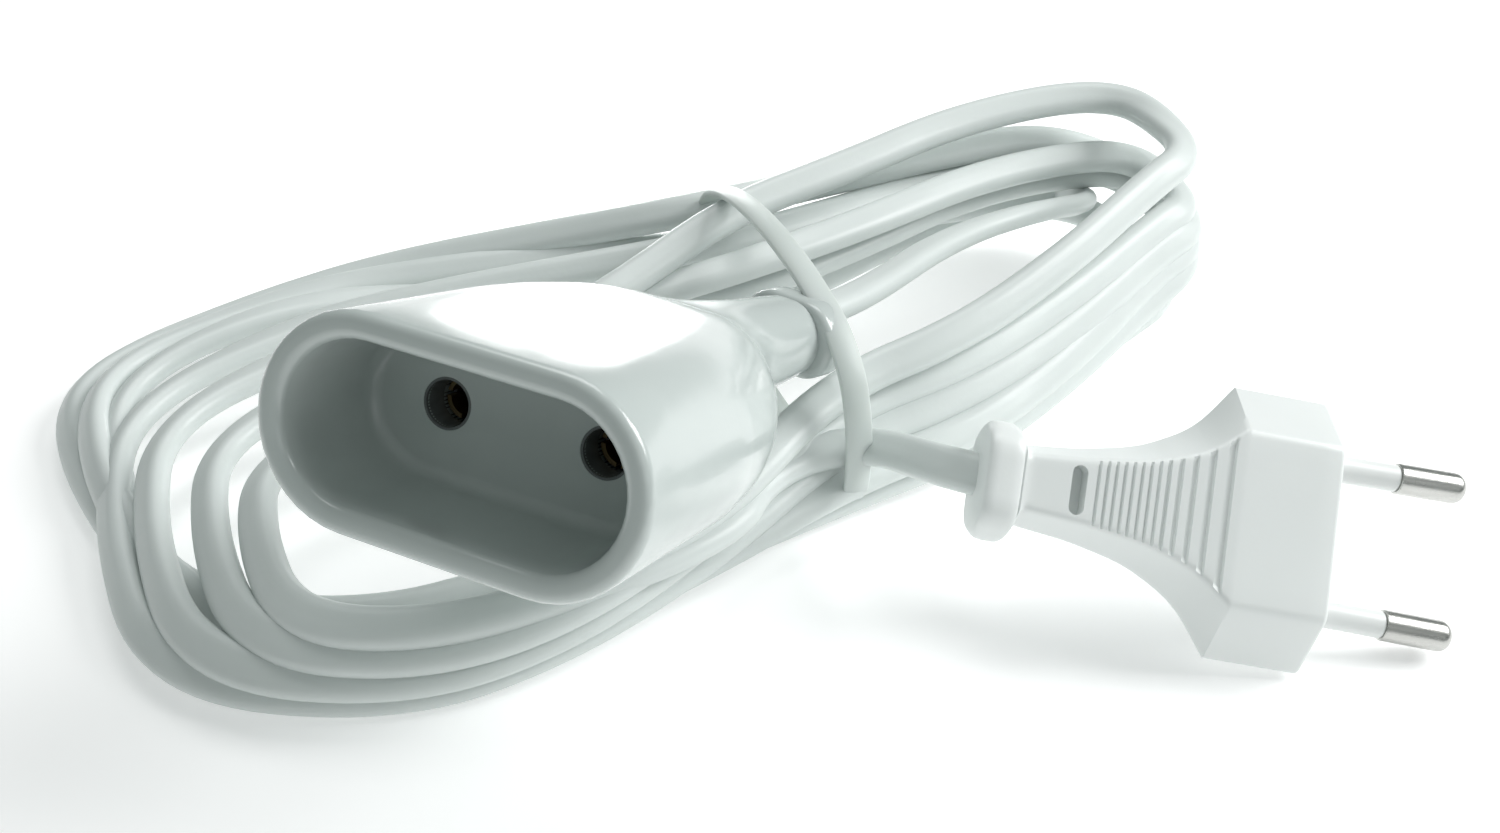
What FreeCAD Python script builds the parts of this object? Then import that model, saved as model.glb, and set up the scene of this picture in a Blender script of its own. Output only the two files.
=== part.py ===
"""Two-pole indoor extension cord: socket, flat twin cord wound into a tied hank, and plug.

Millimetres, +Z up.  The set lies on the plane Z = 0.  X runs from the socket side to the
plug's pins and Y runs away from the socket's mouth.
"""
import FreeCAD, Part
import Sketcher
import math
import os

V = FreeCAD.Vector
Rotation = FreeCAD.Rotation
Placement = FreeCAD.Placement

doc = FreeCAD.newDocument("extension_cord")

# ---------------------------------------------------------------- driving dimensions
SIZES = {
    # socket: depths run from the mouth towards the cord
    "mouth_width": 38.0, "mouth_height": 17.0, "shroud_wall": 2.9, "recess_depth": 16.0,
    "shroud_straight": 26.0, "socket_collar": 4.5, "socket_collar_width": 16.5,
    "socket_collar_thick": 11.0,
    "contact_pitch": 19.0, "hole_dia": 5.2, "hole_wall": 3.5, "chamber_dia": 6.6,
    "carrier_plate": 5.0, "carrier_end": 35.0, "carrier_width": 29.0, "carrier_height": 12.0,
    "contact_bore": 3.9, "contact_outer": 4.9, "contact_start": 20.0, "contact_end": 34.0,
    "contact_slit": 0.6, "slit_length": 9.0, "barrel_dia": 3.0, "barrel_start": 35.0,
    "spring_start": 22.0, "spring_length": 6.0, "spring_outer": 5.7,
    # plug: depths run from the front face towards the cord
    "plug_width": 35.3, "plug_thick": 13.7, "plug_flat": 21.6, "head_length": 12.5,
    "collar_start": 39.5, "collar_length": 4.5, "collar_width": 16.4, "collar_thick": 11.0,
    "pin_dia": 4.0, "pin_length": 19.0, "pin_round": 1.4, "sleeve_length": 10.0,
    "sleeve_dia": 3.5, "sleeve_root": 2.0, "pin_core_dia": 3.0, "pin_pitch": 18.6,
    "shank_dia": 5.0, "shank_end": 10.0, "tail_dia": 3.4, "tail_end": 14.5,
    "bridge_depth": 10.0, "bridge_width": 27.0, "bridge_height": 8.6,
    "window_width": 6.2, "window_length": 1.9, "window_cut": 4.0,
    # flat twin cord and its two cores
    "cord_width": 5.6, "cord_thick": 3.5, "core_dia": 2.3, "strand_dia": 1.1,
    "crimp_depth": 3.3,
    # tie round the hank's waist
    "band_length": 62.0, "band_height": 31.8, "band_wall": 0.9, "band_width": 2.8,
}
PIN_LEAN = 0.8                           # degrees, each pin towards the other

sheet = doc.addObject("Spreadsheet::Sheet", "Sizes")
for row, (alias, size) in enumerate(SIZES.items(), start=1):
    sheet.set("A%d" % row, alias)
    sheet.set("B%d" % row, "%g" % size)
    sheet.setAlias("B%d" % row, alias)
doc.recompute()


def value(expression):
    """What an expression on the sheet comes to."""
    return float(sheet.evalExpression(expression))


# ---------------------------------------------------------------- where the pieces lie
MOUTH_CENTRE = V(-29.1, 111.9, 50.9)
SOCKET_AXIS = V(0.349, 0.840, -0.415)    # from the mouth to the cord
SOCKET_SIDE = V(-0.916, 0.400, 0.040)    # along the mouth's long side
PLUG_FRONT = V(71.6, 144.2, 12.6)        # middle of the plug's front face
PLUG_AXIS = V(-0.982, 0.052, 0.181)      # from the front face to the cord
PLUG_SIDE = V(0.165, 0.699, 0.696)       # from one pin to the other
HANK_CENTRE = V(-8.0, 188.0, 0.0)
HANK_HEADING = 21.0                      # degrees from +X
ORIGIN = V(21.24, 159.9, 0.32)           # the frame's origin in the coordinates above


def frame_from(origin, along, side):
    """Placement whose local Z is `along` and whose local X is nearest to `side`."""
    z = V(along).normalize()
    x = (side - z * side.dot(z)).normalize()
    return Placement(origin - ORIGIN, Rotation(x, z.cross(x), z, "ZXY"))


socket_place = frame_from(MOUTH_CENTRE, SOCKET_AXIS, SOCKET_SIDE)
plug_place = frame_from(PLUG_FRONT, PLUG_AXIS, PLUG_SIDE)
heading = math.radians(HANK_HEADING)
hank_place = frame_from(HANK_CENTRE, V(math.cos(heading), math.sin(heading), 0),
                        V(-math.sin(heading), math.cos(heading), 0))


# ---------------------------------------------------------------- sketch helpers
def section_plane(depth, x=0.0, y=0.0, yaw=0.0, pitch=0.0, roll=0.0):
    """Plane at `depth` along local Z; yaw leans it to +X, pitch to +Y, roll spins it."""
    turn = Rotation(V(0, 1, 0), yaw) * Rotation(V(1, 0, 0), -pitch)
    return Placement(V(x, y, depth), turn * Rotation(V(0, 0, 1), roll))


def new_body(name, place):
    body = doc.addObject("PartDesign::Body", name)
    body.Label = name
    body.Placement = place
    return body


def new_sketch(body, plane=Placement()):
    sketch = body.newObject("Sketcher::SketchObject", body.Name + "_sketch")
    sketch.Placement = plane
    return sketch


def dimension(sketch, kind, refs, size):
    """A dimension that follows an expression on the sheet, or a plain number."""
    number = value(size) if isinstance(size, str) else size
    index = sketch.addConstraint(Sketcher.Constraint(kind, *refs, number))
    if isinstance(size, str):
        sketch.setExpression("Constraints[%d]" % index, size)


def add_slot(sketch, width, height):
    """Stadium outline about the origin, its long side along X."""
    w = value(width) if isinstance(width, str) else width
    h = value(height) if isinstance(height, str) else height
    r = h / 2
    s = (w - h) / 2
    up = V(0, 0, 1)
    first = sketch.addGeometry(Part.LineSegment(V(-s, r, 0), V(s, r, 0)))
    left = Part.ArcOfCircle(Part.Circle(V(-s, 0, 0), up, r), math.pi / 2, 1.5 * math.pi)
    right = Part.ArcOfCircle(Part.Circle(V(s, 0, 0), up, r), -math.pi / 2, math.pi / 2)
    left = sketch.addGeometry(left)
    bottom = sketch.addGeometry(Part.LineSegment(V(-s, -r, 0), V(s, -r, 0)))
    right = sketch.addGeometry(right)
    for refs in ((first, 1, left, 1), (left, 2, bottom, 1), (bottom, 2, right, 1),
                 (right, 2, first, 2)):
        sketch.addConstraint(Sketcher.Constraint("Tangent", *refs))
    sketch.addConstraint(Sketcher.Constraint("Horizontal", first))
    sketch.addConstraint(Sketcher.Constraint("PointOnObject", left, 3, -1))
    sketch.addConstraint(Sketcher.Constraint("Symmetric", left, 3, right, 3, -1, 1))
    bound = isinstance(height, str)
    dimension(sketch, "Radius", (left,), "(%s) / 2" % height if bound else r)
    span = "(%s) - (%s)" % (width, height) if bound else 2 * s
    dimension(sketch, "DistanceX", (left, 3, right, 3), span)


def add_polygon(sketch, points):
    """Closed outline; each point is a pair of sheet expressions or numbers."""
    xy = [tuple(value(c) if isinstance(c, str) else c for c in p) for p in points]
    corners = [V(x, y, 0) for x, y in xy]
    sides = [sketch.addGeometry(Part.LineSegment(a, b))
             for a, b in zip(corners, corners[1:] + corners[:1])]
    for side, following in zip(sides, sides[1:] + sides[:1]):
        sketch.addConstraint(Sketcher.Constraint("Coincident", side, 2, following, 1))
    for side, point, spot in zip(sides, points, xy):
        for kind, size, number, axis in (("DistanceX", point[0], spot[0], -2),
                                         ("DistanceY", point[1], spot[1], -1)):
            if abs(number) < 1e-9:
                sketch.addConstraint(Sketcher.Constraint("PointOnObject", side, 1, axis))
            else:
                dimension(sketch, kind, (-1, 1, side, 1), size)


def add_hexagon(sketch, width, flat, thick):
    """Broad flats above and below, and a bevelled edge on each side."""
    half = ["(%s) / 2" % s if isinstance(s, str) else s / 2 for s in (width, flat, thick)]
    less = ["-" + s if isinstance(s, str) else -s for s in half]
    add_polygon(sketch, [(half[0], 0), (half[1], half[2]), (less[1], half[2]),
                         (less[0], 0), (less[1], less[2]), (half[1], less[2])])


# ---------------------------------------------------------------- feature helpers
def pad(body, sketch, length):
    feature = body.newObject("PartDesign::Pad", body.Name + "_pad")
    feature.Profile = sketch
    if isinstance(length, str):
        feature.setExpression("Length", length)
    else:
        feature.Length = length
    doc.recompute()
    return feature


def pocket(body, sketch, length):
    """Cut along the sketch's own +Z, and check that it removed something."""
    before = body.Shape.Volume
    feature = body.newObject("PartDesign::Pocket", body.Name + "_pocket")
    feature.Profile = sketch
    feature.Reversed = True
    feature.setExpression("Length", length)
    doc.recompute()
    assert body.Shape.Volume < before - 0.1, body.Name + " pocket cut nothing"
    return feature


def loft(body, sketches):
    feature = body.newObject("PartDesign::AdditiveLoft", body.Name + "_loft")
    feature.Profile = sketches[0]
    feature.Sections = sketches[1:]
    doc.recompute()
    return feature


def revolve(body, outline, plane=Placement()):
    """Turn an outline of (radius, depth) points about the local Z axis."""
    upright = Placement(plane.Base, plane.Rotation * Rotation(V(1, 0, 0), 90))
    sketch = new_sketch(body, upright)
    add_polygon(sketch, outline)
    feature = body.newObject("PartDesign::Revolution", body.Name + "_turned")
    feature.Profile = sketch
    feature.ReferenceAxis = (sketch, ["V_Axis"])
    feature.Angle = 360.0
    doc.recompute()
    return feature


def cut_away(name, body, tools):
    """The body less the pieces that are moulded into it."""
    inside = doc.addObject("Part::MultiFuse", name + "_inside")
    inside.Shapes = tools
    result = doc.addObject("Part::Cut", name)
    result.Base = body
    result.Tool = inside
    result.Label = name
    doc.recompute()
    return result


# ---------------------------------------------------------------- tubes along a route
STRIPPED = value("Sizes.crimp_depth") + 0.4        # bare copper at the end of each core
STRAIGHT = 3.2                           # each core's straight run at either end


def rounded_route(points, label):
    """Straight runs joined by tangent arcs as large as the runs allow."""
    edges = []
    radii = []
    start = points[0]
    for before, corner, after in zip(points, points[1:], points[2:]):
        run_in = corner - before
        run_out = after - corner
        reach = 0.45 * min(run_in.Length, run_out.Length)
        turn = run_in.getAngle(run_out)
        radius = reach / math.tan(turn / 2)
        first = corner - V(run_in).normalize() * reach
        last = corner + V(run_out).normalize() * reach
        inward = (first + last) * 0.5 - corner
        to_centre = math.hypot(radius, reach)
        middle = corner + V(inward).normalize() * (to_centre - radius)
        edges.append(Part.LineSegment(start, first).toShape())
        edges.append(Part.Arc(first, middle, last).toShape())
        radii.append(round(radius, 1))
        start = last
    edges.append(Part.LineSegment(start, points[-1]).toShape())
    print("%s: arc radii %s mm" % (label, radii))
    return Part.Wire(edges)


def slot_wire(width, height, place):
    """Stadium wire, for a sweep's section."""
    r = height / 2
    s = max((width - height) / 2, 0)
    if s == 0:
        wire = Part.Wire([Part.Circle(V(0, 0, 0), V(0, 0, 1), r).toShape()])
    else:
        corners = [V(-s, r, 0), V(s, r, 0), V(s + r, 0, 0), V(s, -r, 0), V(-s, -r, 0),
                   V(-s - r, 0, 0)]
        wire = Part.Wire([Part.LineSegment(corners[0], corners[1]).toShape(),
                          Part.Arc(corners[1], corners[2], corners[3]).toShape(),
                          Part.LineSegment(corners[3], corners[4]).toShape(),
                          Part.Arc(corners[4], corners[5], corners[0]).toShape()])
    wire.Placement = place
    return wire


def tube_along(points, width, height, side, label):
    """Solid of one section swept along a rounded route, its width towards `side`."""
    route = rounded_route(points, label)
    start = frame_from(points[0] + ORIGIN, points[1] - points[0], side)
    solid = route.makePipeShell([slot_wire(width, height, start)], True, False)
    section = height * (width - height) + math.pi * height * height / 4
    ratio = solid.Volume / (section * route.Length)
    print("%s: length %.1f mm, volume / (section x length) = %.4f"
          % (label, route.Length, ratio))
    return solid


def new_feature(name, shape):
    feature = doc.addObject("Part::Feature", name)
    feature.Label = name
    feature.Shape = shape
    return feature


def bent_core(name, points, place, side):
    """Copper strands and the insulated core round them, as two nodes."""
    route = [place.multVec(point) for point in points]
    bare = value("Sizes.strand_dia")
    wire = tube_along(route, bare, bare, side, name + "_strands")
    covered = [route[0] + (route[1] - route[0]).normalize() * STRIPPED] + route[1:]
    full = value("Sizes.core_dia")
    sheath = tube_along(covered, full, full, side, name + "_core").cut(wire)
    return [new_feature(name + "_core", sheath), new_feature(name + "_strands", wire)]


# ---------------------------------------------------------------- socket
SIGNS = (("left", 1), ("right", -1))
CORE_NAMES = {"left": "brown", "right": "blue"}
# depth, x, y, yaw, pitch, width, height: the shoulder narrows to a neck that bends
SHOULDER = ((37, 0.0, 0.0, 0, 0, 36.0, 22.2),
            (48, -1.2, 0.9, -6, 3, 23.5, 18.5),
            (60, -3.8, 2.9, -14, 6, 15.5, 14.0),
            (72.5, -7.9, 5.4, -20, 8, 12.5, 10.5))
SOCKET_JACKET = (V(-2.4, 1.8, 55.0), V(-9.6, 6.2, 78.0))


def cut_contact_holes(body):
    """A hole for each pin and a wider chamber behind it for each contact."""
    for depth, width, length in (
            ("Sizes.recess_depth", "Sizes.hole_dia", "Sizes.hole_wall"),
            ("Sizes.recess_depth + Sizes.hole_wall", "Sizes.chamber_dia",
             "Sizes.carrier_end - Sizes.recess_depth - Sizes.hole_wall")):
        sketch = new_sketch(body, section_plane(value(depth)))
        for _, sign in SIGNS:
            centre = V(sign * value("Sizes.contact_pitch") / 2, 0, 0)
            circle = Part.Circle(centre, V(0, 0, 1), value(width) / 2)
            index = sketch.addGeometry(circle)
            dimension(sketch, "Radius", (index,), "(%s) / 2" % width)
            dimension(sketch, "DistanceX", (-1, 1, index, 3),
                      "%d * Sizes.contact_pitch / 2" % sign)
            sketch.addConstraint(Sketcher.Constraint("PointOnObject", index, 3, -1))
        pocket(body, sketch, length)


def socket_carrier():
    """Rigid block behind the recess that holds both contacts."""
    body = new_body("contact_carrier", socket_place)
    front = new_sketch(body, section_plane(value("Sizes.recess_depth")))
    add_slot(front, "Sizes.mouth_width", "Sizes.mouth_height")
    pad(body, front, "Sizes.carrier_plate")
    rear = new_sketch(body, section_plane(value("Sizes.recess_depth + Sizes.carrier_plate")))
    add_slot(rear, "Sizes.carrier_width", "Sizes.carrier_height")
    pad(body, rear, "Sizes.carrier_end - Sizes.recess_depth - Sizes.carrier_plate")
    cut_contact_holes(body)
    return body


def socket_contact(side, sign):
    """Split brass sleeve with a crimp barrel behind it."""
    spot = Placement(V(sign * value("Sizes.contact_pitch") / 2, 0, 0), Rotation())
    body = new_body("socket_contact_" + side, socket_place * spot)
    revolve(body, [
        ("Sizes.contact_bore / 2", "Sizes.contact_start"),
        ("Sizes.contact_outer / 2", "Sizes.contact_start"),
        ("Sizes.contact_outer / 2", "Sizes.contact_end"),
        ("Sizes.barrel_dia / 2", "Sizes.barrel_start"),
        ("Sizes.barrel_dia / 2", "Sizes.barrel_start + Sizes.crimp_depth"),
        ("Sizes.strand_dia / 2", "Sizes.barrel_start + Sizes.crimp_depth"),
        ("Sizes.strand_dia / 2", "Sizes.contact_end"),
        ("Sizes.contact_bore / 2", "Sizes.contact_end - 1")])
    for angle in (0, 90):
        slit = new_sketch(body, section_plane(value("Sizes.contact_start"), roll=angle))
        half, reach = "Sizes.contact_slit / 2", "Sizes.contact_outer"
        add_polygon(slit, [(half, reach), ("-" + half, reach), ("-" + half, "-" + reach),
                           (half, "-" + reach)])
        pocket(body, slit, "Sizes.slit_length")
    return body


def contact_spring(side, sign):
    """Steel ring that keeps the split sleeve closed on the pin."""
    spot = Placement(V(sign * value("Sizes.contact_pitch") / 2, 0, 0), Rotation())
    body = new_body("contact_spring_" + side, socket_place * spot)
    end = "Sizes.spring_start + Sizes.spring_length"
    revolve(body, [("Sizes.contact_outer / 2", "Sizes.spring_start"),
                   ("Sizes.spring_outer / 2", "Sizes.spring_start"),
                   ("Sizes.spring_outer / 2", end),
                   ("Sizes.contact_outer / 2", end)])
    return body


def socket_shell(inside):
    """Overmould: shroud, shoulder, bent neck and end collar in one piece."""
    outer_width = "Sizes.mouth_width + 2 * Sizes.shroud_wall"
    outer_height = "Sizes.mouth_height + 2 * Sizes.shroud_wall"
    body = new_body("socket_mould", socket_place)
    front = new_sketch(body)
    add_slot(front, outer_width, outer_height)
    pad(body, front, "Sizes.shroud_straight")
    sections = [new_sketch(body, section_plane(value("Sizes.shroud_straight")))]
    add_slot(sections[0], outer_width, outer_height)
    for depth, x, y, yaw, pitch, width, height in SHOULDER:
        sections.append(new_sketch(body, section_plane(depth, x, y, yaw, pitch)))
        add_slot(sections[-1], width, height)
    loft(body, sections)
    collar = new_sketch(body, section_plane(*SHOULDER[-1][:5]))
    add_slot(collar, "Sizes.socket_collar_width", "Sizes.socket_collar_thick")
    pad(body, collar, "Sizes.socket_collar")
    mouth = new_sketch(body)
    add_slot(mouth, "Sizes.mouth_width", "Sizes.mouth_height")
    pocket(body, mouth, "Sizes.recess_depth")
    cut_contact_holes(body)
    return cut_away("socket_shell", body, inside)


# ---------------------------------------------------------------- plug
# depth, width, flat, thick: the grip narrows in a hollow curve from the head to the neck
GRIP = ((16.5, 25.0, 15.5, 13.0), (22.0, 17.6, 11.2, 12.2), (30.0, 12.8, 8.4, 11.0),
        (39.5, 10.6, 7.0, 10.0))
PLUG_JACKET = (V(0, 0, 25.5), V(0, 0, 44.0))
WINDOW_AT = V(0, -2.8, 32.5)             # floor of the oval recess in the upper broad face


def pin_axis(sign):
    """Placement of one pin, leaning a little towards the other."""
    lean = Rotation(V(0, 1, 0), sign * PIN_LEAN)
    return Placement(V(sign * value("Sizes.pin_pitch") / 2, 0, 0), lean)


def plug_pin(side, sign):
    """Solid pin: rounded tip, thin core under the sleeve, shank and crimp tail."""
    body = new_body("plug_pin_" + side, plug_place * pin_axis(sign))
    tip = "-Sizes.pin_length"
    neck = "-Sizes.sleeve_length"
    tail_floor = "Sizes.tail_end - Sizes.crimp_depth"
    revolve(body, [
        (0, tip),
        ("Sizes.pin_dia / 2 - Sizes.pin_round", tip),
        ("Sizes.pin_dia / 2", tip + " + Sizes.pin_round"),
        ("Sizes.pin_dia / 2", neck),
        ("Sizes.pin_core_dia / 2", neck),
        ("Sizes.pin_core_dia / 2", "Sizes.sleeve_root"),
        ("Sizes.shank_dia / 2", "Sizes.sleeve_root"),
        ("Sizes.shank_dia / 2", "Sizes.shank_end"),
        ("Sizes.tail_dia / 2", "Sizes.shank_end"),
        ("Sizes.tail_dia / 2", "Sizes.tail_end"),
        ("Sizes.strand_dia / 2", "Sizes.tail_end"),
        ("Sizes.strand_dia / 2", tail_floor),
        (0, tail_floor)])
    return body


def pin_sleeve(side, sign):
    """Insulating collar over the half of the pin next to the plug."""
    body = new_body("pin_sleeve_" + side, plug_place * pin_axis(sign))
    revolve(body, [("Sizes.pin_core_dia / 2", "-Sizes.sleeve_length"),
                   ("Sizes.sleeve_dia / 2", "-Sizes.sleeve_length"),
                   ("Sizes.sleeve_dia / 2", "Sizes.sleeve_root"),
                   ("Sizes.pin_core_dia / 2", "Sizes.sleeve_root")])
    return body


def pin_bridge(pins):
    """Rigid block that sets the pins' spacing, flush with the plug's front face."""
    body = new_body("pin_bridge_blank", plug_place)
    front = new_sketch(body)
    add_slot(front, "Sizes.bridge_width", "Sizes.bridge_height")
    pad(body, front, "Sizes.bridge_depth")
    return cut_away("pin_bridge", body, pins)


def plug_body(inside):
    """Overmould: bevelled head, hollow-curved grip and end collar in one piece."""
    body = new_body("plug_mould", plug_place)
    front = new_sketch(body)
    add_hexagon(front, "Sizes.plug_width", "Sizes.plug_flat", "Sizes.plug_thick")
    pad(body, front, "Sizes.head_length")
    sections = [new_sketch(body, section_plane(value("Sizes.head_length")))]
    add_hexagon(sections[0], "Sizes.plug_width", "Sizes.plug_flat", "Sizes.plug_thick")
    for depth, width, flat, thick in GRIP:
        sections.append(new_sketch(body, section_plane(depth)))
        add_hexagon(sections[-1], width, flat, thick)
    loft(body, sections)
    collar = new_sketch(body, section_plane(value("Sizes.collar_start")))
    add_slot(collar, "Sizes.collar_width", "Sizes.collar_thick")
    pad(body, collar, "Sizes.collar_length")
    window = new_sketch(body, Placement(WINDOW_AT, Rotation(V(1, 0, 0), 90)))
    add_slot(window, "Sizes.window_width", "Sizes.window_length")
    pocket(body, window, "Sizes.window_cut")
    return cut_away("plug_body", body, inside)


# ---------------------------------------------------------------- cord and tie
# along, across, height, roll, width, thick: the hank's outer shape from end to end
HANK = ((-92, 17.0, 6.0, 0, 28.0, 9.0), (-85, 12.0, 7.5, 0, 46.0, 13.0),
        (-64, -3.0, 11.2, 2, 82.0, 17.5), (-40, -4.0, 12.3, 3, 84.0, 18.5),
        (-15, -4.0, 10.2, 3, 74.0, 15.5), (4, -3.5, 11.3, 0, 54.0, 14.0),
        (19, -3.5, 11.8, 0, 55.0, 16.0), (35, -1.0, 14.8, 4, 59.0, 22.0),
        (60, 6.0, 16.5, 4, 50.0, 28.0), (85, 14.0, 17.0, 0, 34.0, 30.0),
        (98, 17.0, 15.5, 0, 24.0, 22.0))
BAND_AT = (10.0, -3.5, 16.3, 0)          # along, across, height, roll
# where the cord goes after the socket and after the plug: through the tie, into the hank
SOCKET_LEAD = (V(16.4, 184.2, 21.6), V(31.5, 205.6, 19.0), V(48.0, 220.0, 17.0))
PLUG_LEAD = (V(18.7, 163.5, 12.0), V(6.0, 176.0, 10.5))


def cord_hank():
    """The wound cord's outer shape as one closed solid."""
    body = new_body("cord_hank", hank_place)
    sections = []
    for along, across, height, roll, width, thick in HANK:
        sections.append(new_sketch(body, section_plane(along, across, height, roll=roll)))
        add_slot(sections[-1], width, thick)
    loft(body, sections)
    return body


def tie_band():
    """Flat plastic strap round the hank's waist and the socket's lead."""
    along, across, height, roll = BAND_AT
    plane = section_plane(along, across, height, roll=roll)
    body = new_body("tie_band", hank_place)
    outer = new_sketch(body, plane)
    add_slot(outer, "Sizes.band_length", "Sizes.band_height")
    pad(body, outer, "Sizes.band_width")
    inner = new_sketch(body, plane)
    add_slot(inner, "Sizes.band_length - 2 * Sizes.band_wall",
             "Sizes.band_height - 2 * Sizes.band_wall")
    pocket(body, inner, "Sizes.band_width")
    return body


def cord_lead(name, inside, place, outside, side, hank):
    """Flat cord from its jacket's end inside a moulding to the hank's surface."""
    points = [place.multVec(point) for point in inside] + [point - ORIGIN for point in outside]
    tube = tube_along(points, value("Sizes.cord_width"), value("Sizes.cord_thick"), side, name)
    pieces = tube.cut(hank.Shape).Solids
    print("%s: %s mm3 outside the hank" % (name, [round(piece.Volume, 1) for piece in pieces]))
    return new_feature(name, max(pieces, key=lambda piece: piece.Volume))


# ---------------------------------------------------------------- assembly
core_gap = value("Sizes.core_dia") / 2 + 0.05      # half the spacing of the two cores


def core_route(crimp, sign, jacket):
    """From inside a crimp to the end of the jacket, parallel to it at the last."""
    along = (jacket[1] - jacket[0]).normalize()
    side = V(1, 0, 0) - along * along.x
    end = jacket[0] + side.normalize() * sign * core_gap
    return [crimp.multVec(V(0, 0, -value("Sizes.crimp_depth"))),
            crimp.multVec(V(0, 0, STRAIGHT)),
            end - along * STRAIGHT, end]


hank = cord_hank()
socket_lead = cord_lead("cord_socket_lead", SOCKET_JACKET, socket_place, SOCKET_LEAD,
                        SOCKET_SIDE, hank)
plug_lead = cord_lead("cord_plug_lead", PLUG_JACKET, plug_place, PLUG_LEAD, PLUG_SIDE, hank)
socket_parts = [socket_lead, socket_carrier()]
plug_parts = [plug_lead]
pins = []
for side, sign in SIGNS:
    socket_parts += [socket_contact(side, sign), contact_spring(side, sign)]
    barrel = Placement(V(sign * value("Sizes.contact_pitch") / 2, 0,
                         value("Sizes.barrel_start + Sizes.crimp_depth")), Rotation())
    socket_parts += bent_core("socket_" + CORE_NAMES[side],
                              core_route(barrel, sign, SOCKET_JACKET),
                              socket_place, SOCKET_SIDE)
    pins += [plug_pin(side, sign), pin_sleeve(side, sign)]
    tail = pin_axis(sign) * Placement(V(0, 0, value("Sizes.tail_end")), Rotation())
    plug_parts += bent_core("plug_" + CORE_NAMES[side],
                            core_route(tail, sign, PLUG_JACKET), plug_place, PLUG_SIDE)
bridge = pin_bridge(pins)
nodes = socket_parts + plug_parts + pins + [bridge, hank, tie_band()]
nodes.append(socket_shell(socket_parts))
nodes.append(plug_body(plug_parts + pins + [bridge]))
doc.recompute()

# ---------------------------------------------------------------- checks and export
for item in doc.Objects:
    assert not {"Invalid", "Error"} & set(item.State), "%s is %s" % (item.Label, item.State)
for node in nodes:
    assert not node.Shape.isNull() and node.Shape.isValid(), node.Label + " has a bad shape"
    assert node.Shape.Solids, node.Label + " has no solid"

os.makedirs("parts", exist_ok=True)
for node in nodes:
    node.Shape.exportStep("parts/%s.step" % node.Label)
    print("%-24s %9.1f mm3, %d solid(s)" % (node.Label, node.Shape.Volume,
                                            len(node.Shape.Solids)))
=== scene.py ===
"""Looks of a flat-plug extension cord: a white two-core cord tied in a long hank.

Sizes are in millimetres on each piece's own axes, and a place matrix takes them to metres in the
row frame. The camera and the cord come first, then the socket, the plug with its pins, the tie,
the materials of the CAD nodes that stay, and the studio.
"""

import math

import bmesh
import bpy
import numpy as np
from mathutils import Matrix, Vector


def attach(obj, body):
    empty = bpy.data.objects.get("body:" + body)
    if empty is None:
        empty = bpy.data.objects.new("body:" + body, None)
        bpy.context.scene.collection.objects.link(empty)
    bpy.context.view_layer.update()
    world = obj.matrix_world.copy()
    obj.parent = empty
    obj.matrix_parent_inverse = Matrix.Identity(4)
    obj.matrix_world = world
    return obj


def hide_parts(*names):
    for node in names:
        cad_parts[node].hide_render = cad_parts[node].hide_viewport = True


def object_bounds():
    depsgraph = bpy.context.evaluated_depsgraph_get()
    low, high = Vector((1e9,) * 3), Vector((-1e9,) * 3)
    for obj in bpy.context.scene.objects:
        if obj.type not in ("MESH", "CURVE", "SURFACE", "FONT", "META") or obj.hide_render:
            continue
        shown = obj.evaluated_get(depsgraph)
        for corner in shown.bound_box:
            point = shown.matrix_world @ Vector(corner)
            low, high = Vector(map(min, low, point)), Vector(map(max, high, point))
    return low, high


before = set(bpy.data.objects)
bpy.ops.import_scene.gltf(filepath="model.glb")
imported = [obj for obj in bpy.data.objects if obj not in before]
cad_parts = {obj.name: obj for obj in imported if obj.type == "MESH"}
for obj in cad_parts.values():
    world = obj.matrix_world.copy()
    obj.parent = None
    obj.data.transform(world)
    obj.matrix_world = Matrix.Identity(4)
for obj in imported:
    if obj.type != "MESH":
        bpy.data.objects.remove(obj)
cad_box = [list(corner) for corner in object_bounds()]

MM = 0.001

# ---------------------------------------------------------------- places
ORIGIN = Vector((21.24, 159.9, 0.32))       # the row frame's origin on the table's own axes, mm
MOUTH_CENTRE = (-29.1, 111.9, 50.9)
SOCKET_AXIS = (0.349, 0.840, -0.415)
SOCKET_SIDE = (-0.916, 0.400, 0.040)
PLUG_FRONT = (71.6, 144.2, 12.6)
PLUG_AXIS = (-0.982, 0.052, 0.181)
PLUG_SIDE = (0.165, 0.699, 0.696)
HANK_CENTRE = (-8.0, 188.0, 0.0)
HANK_HEADING = math.radians(21.0)


def place_from(origin, along, side):
    """Matrix from a piece's own millimetres to the row frame: local Z is `along`."""
    z = Vector(along).normalized()
    x = (Vector(side) - z * Vector(side).dot(z)).normalized()
    turn = Matrix((x, z.cross(x), z)).transposed().to_4x4()
    shift = Matrix.Translation((Vector(origin) - ORIGIN) * MM)
    return shift @ turn @ Matrix.Scale(MM, 4)


socket_place = place_from(MOUTH_CENTRE, SOCKET_AXIS, SOCKET_SIDE)
plug_place = place_from(PLUG_FRONT, PLUG_AXIS, PLUG_SIDE)
hank_place = place_from(HANK_CENTRE, (0, 0, 1),
                        (math.cos(HANK_HEADING), math.sin(HANK_HEADING), 0))


def mix(a, b, share):
    return a + (b - a) * share


def ramp(value, start, end):
    """0 up to `start`, 1 from `end` on."""
    return min(1.0, max(0.0, (value - start) / (end - start)))


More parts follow.
